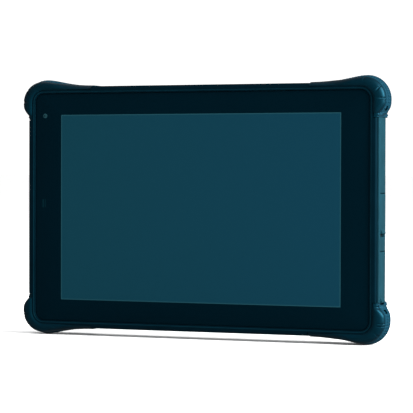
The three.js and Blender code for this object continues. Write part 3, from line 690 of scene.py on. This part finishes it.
def bumper_rows():
    """Where the bumper is sampled: places along its seat, each with the distances out to its surfaces."""
    half_x, half_z, r = SEAT
    fine_step, middle_step, coarse_step = 0.2, 0.22, 0.8
    bulge_end = BULGE_X - 14
    stations = []
    z = HEEL_Z
    while z < half_z - r:
        stations.append(((half_x, z), (1.0, 0.0)))
        z += fine_step
    arc_step = fine_step / (BUMPER_X - half_x + r)
    angle = 0.0
    while angle < math.pi / 2:
        stations.append((
            (half_x - r + r * math.cos(angle), half_z - r + r * math.sin(angle)),
            (math.cos(angle), math.sin(angle)),
        ))
        angle += arc_step
    x = half_x - r
    while x > TAIL_X:
        stations.append(((x, half_z), (0.0, 1.0)))
        x -= middle_step if x > bulge_end else coarse_step
    stations.append(((TAIL_X, half_z), (0.0, 1.0)))

    outer = bumper_outline()
    front = rounded_quarter(FRONT_OPENING)
    rear = rear_edge(len(stations))
    back_off = 28.0  # rays start this far inside the seat
    rows, length, previous = [], 0.0, None
    for number, ((x, z), (nx, nz)) in enumerate(stations):
        origin = (x - back_off * nx, z - back_off * nz)
        height, lip = (hit(origin, (nx, nz), line) - back_off for line in (outer, front))
        edge = (x + height * nx, z + height * nz)
        if previous:
            length += math.dist(edge, previous)
        previous = edge
        rows.append({
            "at": (x, z), "n": (nx, nz), "height": height, "lip": lip, "rear": rear[number], "length": length,
        })
    return rows


def rear_edge(count):
    """Evenly spaced places on the edge of the bumper's rear opening, from the heel to the tail."""
    half_x, half_z, r = REAR_OPENING
    start = math.asin((HEEL_Z - half_z + r) / r)
    arc = r * (math.pi / 2 - start)
    whole = arc + half_x - r - TAIL_X
    places = []
    for i in range(count):
        s = whole * i / (count - 1)
        if s < arc:
            a = start + s / r
            places.append((half_x - r + r * math.cos(a), half_z - r + r * math.sin(a)))
        else:
            places.append((half_x - r - (s - arc), half_z))
    return places


def groove_at(x, z, grooves):
    """How deep the grooves across the front of a bumper are at a place, as a share of GROOVE_DEPTH."""
    wall = 0.15  # half the width of a groove's sloping wall
    lead_in = 1.0  # a groove reaches this far back past its start
    deepest = 0.0
    for (gx, gz), (dx, dz), wide, deep in grooves:
        along = (x - gx) * dx + (z - gz) * dz
        off = abs((x - gx) * dz - (z - gz) * dx)
        if along > -lead_in:
            deepest = max(deepest, deep * (1 - smoothstep(wide / 2 - wall, wide / 2 + wall, off)))
    return deepest


def bumper_shares(row):
    """How much a section is part of the bulge, of the heel and of the flush flange, each from 0 to 1."""
    z = row["at"][1]
    bulge = smoothstep(1.8, 4.6, row["height"])
    heel = 1 - smoothstep(HEEL_START, HEEL_START + 7.0, z)
    flush = 1 - smoothstep(HEEL_START, HEEL_START + 3.0, z)
    return bulge, heel, flush


def front_points(row, bulge, front, drop, band, grooves):
    """A section's front, from the bezel up and round to the ridge, as (distance from the seat, depth)."""
    (x, z), (nx, nz) = row["at"], row["n"]
    lip = row["lip"]
    soft = 0.4 + 1.1 * bulge  # how wide the slope up from the bezel is
    width = max(0.4, band - lip - soft)
    reach = FRONT_ROUND - (FRONT_ROUND - min(FRONT_ROUND, width)) * bulge
    start = math.asin(max(0.0, 1 - width / reach))
    steps = 16
    curve = []
    for i in range(steps + 1):
        turn = start + (math.pi / 2 - start) * i / steps
        off = band - reach * (1 - math.sin(turn))
        depth = front + drop * (1 - math.cos(turn))
        deep = GROOVE_DEPTH * bulge * groove_at(x + off * nx, z + off * nz, grooves)
        deep *= smoothstep(0.1, 0.85, turn) * (1 - smoothstep(1.42, 1.54, turn))  # fades out at both ends
        curve.append((off - deep * math.sin(turn), depth + deep * math.cos(turn)))
    base = curve[0][1]
    climb = max(0.3, BEZEL_FRONT - base)
    slope = ((0.0, 1.25), (0.04, 0.95), (0.3, 0.55), (0.62, 0.16))
    points = [(lip + soft * share, base + climb * down) for share, down in slope]
    points += [(max(off, lip + soft * 0.75 + 0.002 * i), depth) for i, (off, depth) in enumerate(curve)]
    return points


def side_points(row, bulge, ridge, band):
    """A section's side: the step behind the ridge, the rows of grip blocks and the rear round."""
    height = row["height"]
    points = [
        (band - 0.42 * bulge, ridge + 0.25), (band - 0.42 * bulge, ridge + 0.6),
        (band + 0.16 * bulge, ridge + 0.85), (band + 0.2 * bulge, ridge + 1.1),
    ]
    along = 0.5 + 0.5 * math.cos(2 * math.pi * row["length"] / BLOCK_PITCH)
    block = BLOCK_HEIGHT * bulge * smoothstep(0.2, 0.42, along)
    block_profile = ((0.0, 0.0), (0.14, 0.0), (0.3, 1.0), (0.85, 1.0), (0.99, 0.0))
    first = max(ridge + 1.3, BLOCK_ROWS[0])

    def rise(depth):
        return band + (height - band) * smoothstep(ridge + 0.8, 7.4, depth)

    for low, high in zip(BLOCK_ROWS, BLOCK_ROWS[1:]):
        for share, up in block_profile:
            depth = max(first + 0.01 * share, low + (high - low) * share)
            points.append((rise(depth) - BLOCK_HEIGHT * bulge + up * block, depth))
    flat_depths = (BLOCK_ROWS[-1] + 0.25, FACET_START + 0.6, 12.0, 14.5, BUMPER_BACK - REAR_ROUND)
    points += [(height, depth) for depth in flat_depths]
    steps = 6
    for i in range(1, steps + 1):
        turn = math.pi / 2 * i / steps
        inset, ahead = REAR_ROUND * (1 - math.cos(turn)), REAR_ROUND * (1 - math.sin(turn))
        points.append((height - inset, BUMPER_BACK - ahead))
    return points


def rear_places(row, rim):
    """A section's back, from its rim in to the rear opening, and the seat, back to the front."""
    (x, z), (nx, nz) = row["at"], row["n"]
    ex, ez = row["rear"]

    def towards(share, depth):
        return ex + (rim[0] - ex) * share, ez + (rim[1] - ez) * share, depth

    places = [
        towards(0.5, BUMPER_BACK), towards(0.06, BUMPER_BACK), towards(0.015, BUMPER_BACK - 0.12),
        towards(0.0, BUMPER_BACK - 0.45), towards(0.0, CASE_BACK + FINE),
    ]
    steps = 4
    for i in range(steps + 1):
        turn = math.pi / 2 * i / steps
        off = -SEAT_RETURN * (1 - math.sin(turn))
        depth = CASE_BACK + FINE - SEAT_RETURN * (1 - math.cos(turn))
        places.append((x + off * nx, z + off * nz, depth))
    lip = row["lip"]
    return places + [(x, z, CASE_FRONT - FINE), (x + lip * nx, z + lip * nz, CASE_FRONT - FINE)]


def bumper_profile(row, grooves):
    """One closed section of the bumper, as (x, z, depth) places, and where its outer band starts."""
    (x, z), (nx, nz) = row["at"], row["n"]
    bulge, heel, flush = bumper_shares(row)
    front = BUMPER_FRONT + (BEZEL_FRONT - BUMPER_FRONT) * flush
    drop = FRONT_ROUND - 2.9 * max(bulge, heel) - 1.3 * flush
    ridge_inset = 1.2 * bulge + 1.2 * heel * smoothstep(1.4, 3.0, row["height"])
    band = row["height"] - ridge_inset
    points = front_points(row, bulge, front, drop, band, grooves)
    band_start = len(points) + 1  # the step behind the ridge still belongs to the front
    points += side_points(row, bulge, front + drop, band)

    places = []
    for off, depth in points:
        lean = FACET_INSET * max(0.0, depth - FACET_START) / (BUMPER_BACK - FACET_START) * max(bulge, heel)
        leaned = max(off - lean, min(off, LEAN_LIMIT))
        if depth > BUMPER_BACK - REAR_ROUND:
            leaned += (off - lean - leaned) * bulge
        places.append((x + leaned * nx, z + leaned * nz, depth))
    return places + rear_places(row, places[-1]), band_start


def make_bumper(name, rows, sx, sz):
    """A corner bumper with its screw hole and its cord hole. sx and sz mirror the first quarter."""
    bm = bmesh.new()
    loops = []
    grooves = GROOVES["top" if sz > 0 else "bottom"]
    for row in rows:
        places, band_start = bumper_profile(row, grooves)
        loops.append([bm.verts.new(at(sx * x, depth, sz * z)) for x, z, depth in places])
    for a, b in zip(loops, loops[1:]):
        for i, face in enumerate(bridge(bm, a, b)):
            # the outer band takes the lighter rubber colour: painted light from the key light on the right
            face.material_index = 1 if band_start <= i < len(a) - 1 else 0
    bm.faces.new(loops[0])
    bm.faces.new(loops[-1])
    node = f"bumper_{name}"
    materials = [MATERIALS["bumper"], MATERIALS["bumper_band_lit"]]
    made = piece(f"{node}_moulding", bm, materials, replaces=(node,), sharp_deg=38.0)
    screw_x, screw_depth, screw_z = span(f"bumper_screw_{name}")
    shank, head, head_floor = 1.4, 2.9, screw_depth[1] - 1.1
    hole = turned(
        [(shank, CASE_BACK - 1), (shank, head_floor), (head, head_floor),
         (head, BUMPER_BACK - 0.2), (head + 0.4, BUMPER_BACK + 0.2), (head + 0.4, BUMPER_BACK + 2)],
        middle(screw_x), middle(screw_z), 32,
    )
    cord_depths, cord_z = (4.5, 6.3), (HEEL_START + 2.7, HEEL_START + 5.2)
    cord_hole = pad(cord_depths, cord_z, (CASE_X + 1.9, BUMPER_X + 2), 0.85, 0.1,
                    lambda u, level, v: at(sx * level, u, sz * v))
    cutters = [hole, cord_hole]
    if sx > 0 > sz:  # the lower port door's finger notch reaches into this bumper's flange
        notch_z, notch_x = (-HEEL_START - 0.2, 1.0 - HEEL_Z), (CASE_X - 2, CASE_X + 4)
        cutters.append(pad(NOTCH_DEPTHS, notch_z, notch_x, 0.3, 0.1, side_place))
    cut(made, *cutters)


ROWS = bumper_rows()
for corner, (right, up) in CORNERS.items():
    make_bumper(corner, ROWS, right, up)


# ---- Rear housing, port doors and buttons ----------------------------------------------------------------


def make_door(name):
    """A port door: a thin cover with a soft edge and a finger lip, and a dark sheet in its notch that stands
    in for the notch's shade.
    """
    node = f"port_door_{name}"
    _, (front, back), (low, high) = span(node)
    leaf = pad((front, back), (low, high - 0.25), (CASE_X - 1.2, CASE_X), 0.5, 0.28, side_place)
    lip_low, lip_high = low + 0.15, low + 3.4
    root, taper = -0.3, 0.5
    lip_profile = ((0.0, 0.55), (0.05, 0.85), (0.12, 0.95), (0.35, 0.7), (0.7, 0.2), (1.0, -0.25))
    lip = bmesh.new()
    rows = []
    for share, proud in lip_profile:
        z = lip_low + (lip_high - lip_low) * share
        ends = (NOTCH_DEPTHS[0] + 0.3 + taper * share, NOTCH_DEPTHS[1] - 0.3 - taper * share)
        rows.append([lip.verts.new(at(CASE_X + p, d, z)) for d in ends for p in (root, proud)])
    for a, b in zip(rows, rows[1:]):
        for i, j in ((0, 1), (1, 3), (3, 2), (2, 0)):
            lip.faces.new((a[i], a[j], b[j], b[i]))
    for a in (rows[0], rows[-1]):
        lip.faces.new((a[0], a[1], a[3], a[2]))
    # a dark sheet of the seal's colour on the notch's floor: painted shade in the finger notch
    shade_sheet_depths = (NOTCH_DEPTHS[0] + 0.1, NOTCH_DEPTHS[1] - 0.1)
    shade_sheet_z = (low - NOTCH_HEIGHT - 0.2, low - 0.2)
    notch_floor = CASE_X - 1.45
    shade_sheet = pad(shade_sheet_depths, shade_sheet_z, (notch_floor, notch_floor + 0.3), 0.3, 0.05, side_place)
    piece(f"{node}_notch_shade_sheet", shade_sheet, MATERIALS["seal"])
    body = f"{name}_port_door"
    piece(f"{node}_cover", merged(leaf, lip), MATERIALS["shell"], body, (node,))
    refined(f"{node}_seal", 0.15, MATERIALS["seal"], body)


def make_button(name):
    """A soft button cap with a crowned face and a small raised mark."""
    node = f"{name}_button"
    x, depth, z = span(node)
    mid_x, mid_d = middle(x), middle(depth)
    cap_x, cap_d, flange_d = 5.5, 2.5, 2.3
    low, top = z
    cap_levels = (low + 0.9, top - 0.05)
    cap = pad((mid_x - cap_x, mid_x + cap_x), (mid_d - cap_d, mid_d + cap_d), cap_levels, 2.4, 0.5, top_place)
    flange = pad(x, (mid_d - flange_d, mid_d + flange_d), (low + 0.3, low + 1.2), 1.0, 0.1, top_place)
    marks = {
        "power": [((-0.25, 0.25), (-1.1, 0.2)), ((-1.0, 1.0), (0.7, 1.1))],
        "function": [((-0.9, 0.9), (-0.9, -0.4)), ((-0.9, 0.9), (0.4, 0.9))],
        "volume_down": [((-1.1, 1.1), (-0.25, 0.25))],
        "volume_up": [((-1.1, 1.1), (-0.25, 0.25)), ((-0.25, 0.25), (-1.1, 1.1))],
    }[name]
    raised = [
        pad((mid_x + a, mid_x + b), (mid_d + c, mid_d + d), (top - 0.25, top), 0.1, 0.04, top_place)
        for (a, b), (c, d) in marks
    ]
    piece(f"{node}_cap", merged(cap, flange, *raised), MATERIALS["button"], node, (node,))


refined("rear_housing", 0.12, MATERIALS["shell"])
for door in ("upper", "lower"):
    make_door(door)
for button in ("power", "function", "volume_down", "volume_up"):
    make_button(button)


# ---- Rear details ----------------------------------------------------------------------------------------


def make_screw(node):
    """A cap screw with a softened head and a six-lobed socket."""
    x, (tip, top), z = span(node)
    radius = (x[1] - x[0]) / 2
    head = 1.3 if node.startswith("case") else 0.8
    low = top - head
    shank = [(0.6, tip), (1.0, tip + 0.4), (1.0, low)]
    rim = [(radius, low), (radius, top - 0.3), (radius - 0.09, top - 0.1), (radius - 0.3, top)]
    socket = [(-1.45, top), (-1.3, top - 0.12), (-1.25, top - head * 0.7)]
    bm = turned(shank + rim + socket, middle(x), middle(z), 48, 6)
    piece(f"{node}_turned", bm, MATERIALS["screw"], replaces=(node,))


def make_insert(node):
    """A brass insert with a chamfered mouth and threads in its bore."""
    x, (front, top), z = span(node)
    radius = (x[1] - x[0]) / 2
    bore = 1.65
    pitch = 0.68
    threads = []
    depth = top - 0.5
    while depth > front + 1.3:
        threads += [(bore, depth), (bore + 0.22, depth - pitch / 4), (bore, depth - pitch / 2)]
        depth -= pitch
    wall = [(radius - 0.2, front), (radius, front + 0.2), (radius, top - 0.12), (radius - 0.12, top)]
    profile = wall + [(bore + 0.45, top)] + threads + [(bore, front + 1.0)]
    bm = turned(profile, middle(x), middle(z), 40)
    piece(f"{node}_turned", bm, MATERIALS["brass"], replaces=(node,))


for item in sorted(frame["nodes"]):
    if "_screw_" in item:
        make_screw(item)
    elif item.startswith("strap_insert"):
        make_insert(item)


def make_camera_window():
    """The rear camera's window with its alloy trim and its pupil."""
    x, (front, back), z = span("rear_camera_window")
    radius = (x[1] - x[0]) / 2
    cx, cz = middle(x), middle(z)
    edge = [(radius - 0.1, front), (radius, front + 0.1), (radius, back - 0.12), (radius - 0.12, back)]
    glass = edge + [(0.02, back)]
    piece("rear_camera_window_glass", turned(glass, cx, cz, 56), MATERIALS["lens"],
          replaces=("rear_camera_window",))
    ring = [(radius - 0.9, back - 0.05), (radius - 0.9, back + 0.08), (radius - 0.2, back + 0.08),
            (radius - 0.1, back - 0.05)]
    piece("rear_camera_trim", turned(ring, cx, cz, 56, ring=True), MATERIALS["alloy"])
    pupil = [(1.5, back), (1.4, back + 0.05), (0.9, back + 0.11), (0.02, back + 0.13)]
    piece("rear_camera_pupil", turned(pupil, cx, cz, 40), PUPIL)


make_camera_window()

SOFTENED = {  # CAD solids that are kept with softened edges: the body each rides on, and the bevel's width
    "battery_pack": ("case", 0.35), "battery_latch_left": ("battery_latch_left", 0.12),
    "battery_latch_right": ("battery_latch_right", 0.12), "docking_connector": ("case", 0.1),
    "usb_c_socket": ("case", 0.05), "usb_a_socket": ("case", 0.05), "audio_jack": ("case", 0.15),
    "power_jack": ("case", 0.15), "flash_lens": ("case", 0.15),
}
for item, (rides_on, softness) in SOFTENED.items():
    refined(item, softness, MATERIALS[SLOT_OF[item]], rides_on)

# The solids that no piece replaces keep their CAD shape.
replaced = {name for o in bpy.context.scene.objects for name in o.get("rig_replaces", [])}
for item, solid in frame["nodes"].items():
    if item not in replaced:
        solid.data.materials.clear()
        solid.data.materials.append(MATERIALS[SLOT_OF[item]])


# ---- Floor, light and camera -----------------------------------------------------------------------------


def make_floor():
    """A pale floor wide enough for its edge to vanish into the backdrop."""
    reach = 60.0
    bm = bmesh.new()
    bm.faces.new([
        bm.verts.new((sx * reach, sy * reach, 0.0)) for sx, sy in ((-1, -1), (1, -1), (1, 1), (-1, 1))
    ])
    mesh = bpy.data.meshes.new("floor")
    bm.to_mesh(mesh)
    bm.free()
    n = Nodes("pale_floor")
    mesh.materials.append(n.set(
        Base_Color=n.ramp(n.noise(400.0), (0.93, 0.93, 0.93), (0.95, 0.95, 0.95)), Roughness=0.9,
        Specular_IOR_Level=0.1,
    ))
    floor = bpy.data.objects.new("floor", mesh)
    bpy.context.scene.collection.objects.link(floor)
    floor.visible_glossy = False


BACKDROP = 1.15
SKY = 1.12
SKY_GLOSS = 0.15  # what reflections see of the sky


def make_world():
    """A white backdrop for the camera, a soft even sky for the light, and a dim one for reflections."""
    world = bpy.data.worlds.new("studio")
    world.use_nodes = True
    tree = world.node_tree
    tree.nodes.clear()
    path = tree.nodes.new("ShaderNodeLightPath")
    seen = tree.nodes.new("ShaderNodeBackground")
    seen.inputs["Strength"].default_value = BACKDROP
    sky = tree.nodes.new("ShaderNodeBackground")
    sky.inputs["Strength"].default_value = SKY
    for background in (seen, sky):
        background.inputs["Color"].default_value = (1.0, 1.0, 1.0, 1.0)
    gloss = tree.nodes.new("ShaderNodeBackground")
    gloss.inputs["Strength"].default_value = SKY_GLOSS
    glossy_mix = tree.nodes.new("ShaderNodeMixShader")
    mix = tree.nodes.new("ShaderNodeMixShader")
    out = tree.nodes.new("ShaderNodeOutputWorld")
    tree.links.new(path.outputs["Is Glossy Ray"], glossy_mix.inputs["Fac"])
    tree.links.new(sky.outputs[0], glossy_mix.inputs[1])
    tree.links.new(gloss.outputs[0], glossy_mix.inputs[2])
    tree.links.new(path.outputs["Is Camera Ray"], mix.inputs["Fac"])
    tree.links.new(glossy_mix.outputs[0], mix.inputs[1])
    tree.links.new(seen.outputs[0], mix.inputs[2])
    tree.links.new(mix.outputs[0], out.inputs["Surface"])
    bpy.context.scene.world = world


def softbox(name, place, target, size, power):
    """A square area light that faces the target."""
    data = bpy.data.lights.new(name, "AREA")
    data.size = size
    data.energy = power
    light = bpy.data.objects.new(name, data)
    light.location = place
    light.rotation_euler = (Vector(target) - Vector(place)).to_track_quat("-Z", "Y").to_euler()
    bpy.context.scene.collection.objects.link(light)


FOCAL_LENGTH = 179.46
CAMERA_PLACE = (455.36, -1075.49, 20.45)  # to the right of the object and a little above its middle
CAMERA_TURN_DEG = (89.0536, -0.1508, 22.6852)


def make_camera():
    """A long lens at the photograph's angle."""
    data = bpy.data.cameras.new("camera")
    data.sensor_width = 36.0
    data.lens = FOCAL_LENGTH
    data.clip_start, data.clip_end = 0.05, 200.0
    camera = bpy.data.objects.new("camera", data)
    camera.location = at(*CAMERA_PLACE)
    camera.rotation_euler = tuple(math.radians(a) for a in CAMERA_TURN_DEG)
    bpy.context.scene.collection.objects.link(camera)
    bpy.context.scene.camera = camera


make_floor()
make_world()
centre = (0.0, 0.0, SCREEN.z)
softbox("key_right", (1.5, -0.15, 0.75), centre, size=0.9, power=92.0)
softbox("rear_left", (-1.6, 1.2, 1.3), centre, size=1.8, power=5.0)
make_camera()
bpy.context.scene.view_settings.view_transform = "Standard"
